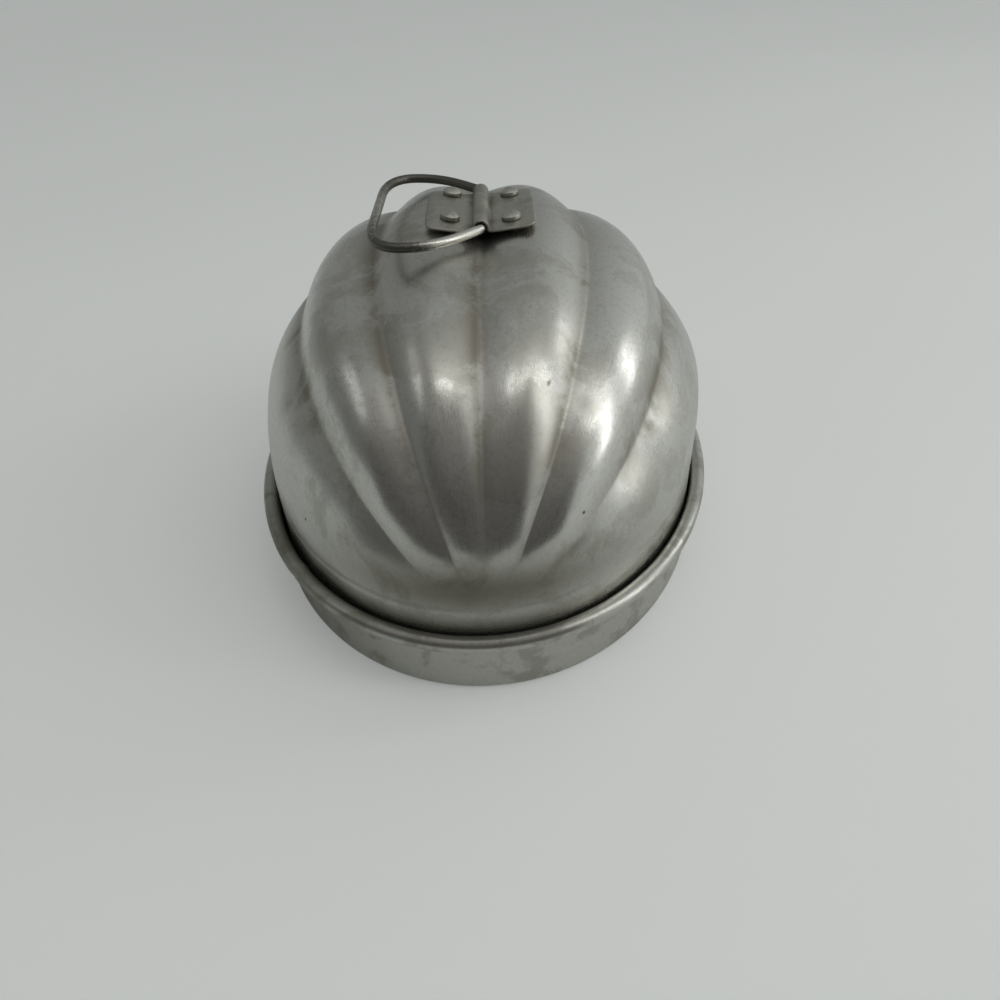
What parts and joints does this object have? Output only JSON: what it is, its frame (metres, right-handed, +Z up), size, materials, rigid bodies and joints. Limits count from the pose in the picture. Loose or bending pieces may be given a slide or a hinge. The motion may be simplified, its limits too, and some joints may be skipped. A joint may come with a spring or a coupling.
{
  "type": "melon mould",
  "caption": "Ribbed oval pudding mould in sheet aluminium, standing open side down in its shallow rolled-rim lid, with a fold-down wire bail riveted on top.",
  "frame": {"origin": "centre of the lid's underside, on the surface that it stands on", "axes": "+Z up from the lid to the handle, +Y along the melon's ribs and away from the viewer of the picture, +X across the ribs"},
  "size_m": [0.1522, 0.1942, 0.1047],
  "materials": {
    "lid_aluminium": "worn satin with water marks",
    "mould_aluminium": "worn satin, stained along the valleys",
    "saddle_aluminium": "dull, stained",
    "rivet_aluminium": "dull, dirt round the heads",
    "bail_steel": "tarnished wire, bright where it is handled"
  },
  "bodies": {
    "lid": {"lid": "lid_aluminium"},
    "mould": {"mould_shell": "mould_aluminium", "saddle_plate": "saddle_aluminium", "rivet_front_left": "rivet_aluminium", "rivet_front_right": "rivet_aluminium", "rivet_rear_left": "rivet_aluminium", "rivet_rear_right": "rivet_aluminium"},
    "bail": {"bail": "bail_steel"}
  },
  "joints": [
    {"name": "mould_lift", "type": "slide", "parent": "lid", "child": "mould", "axis": [0, 0, 1], "range_m": [0, 0.03]},
    {"name": "bail_swing", "type": "hinge", "parent": "mould", "child": "bail", "pos_m": [0.00381, -0.0023, 0.10166], "axis": [0, 1, 0], "range_deg": [0, 173]}
  ]
}
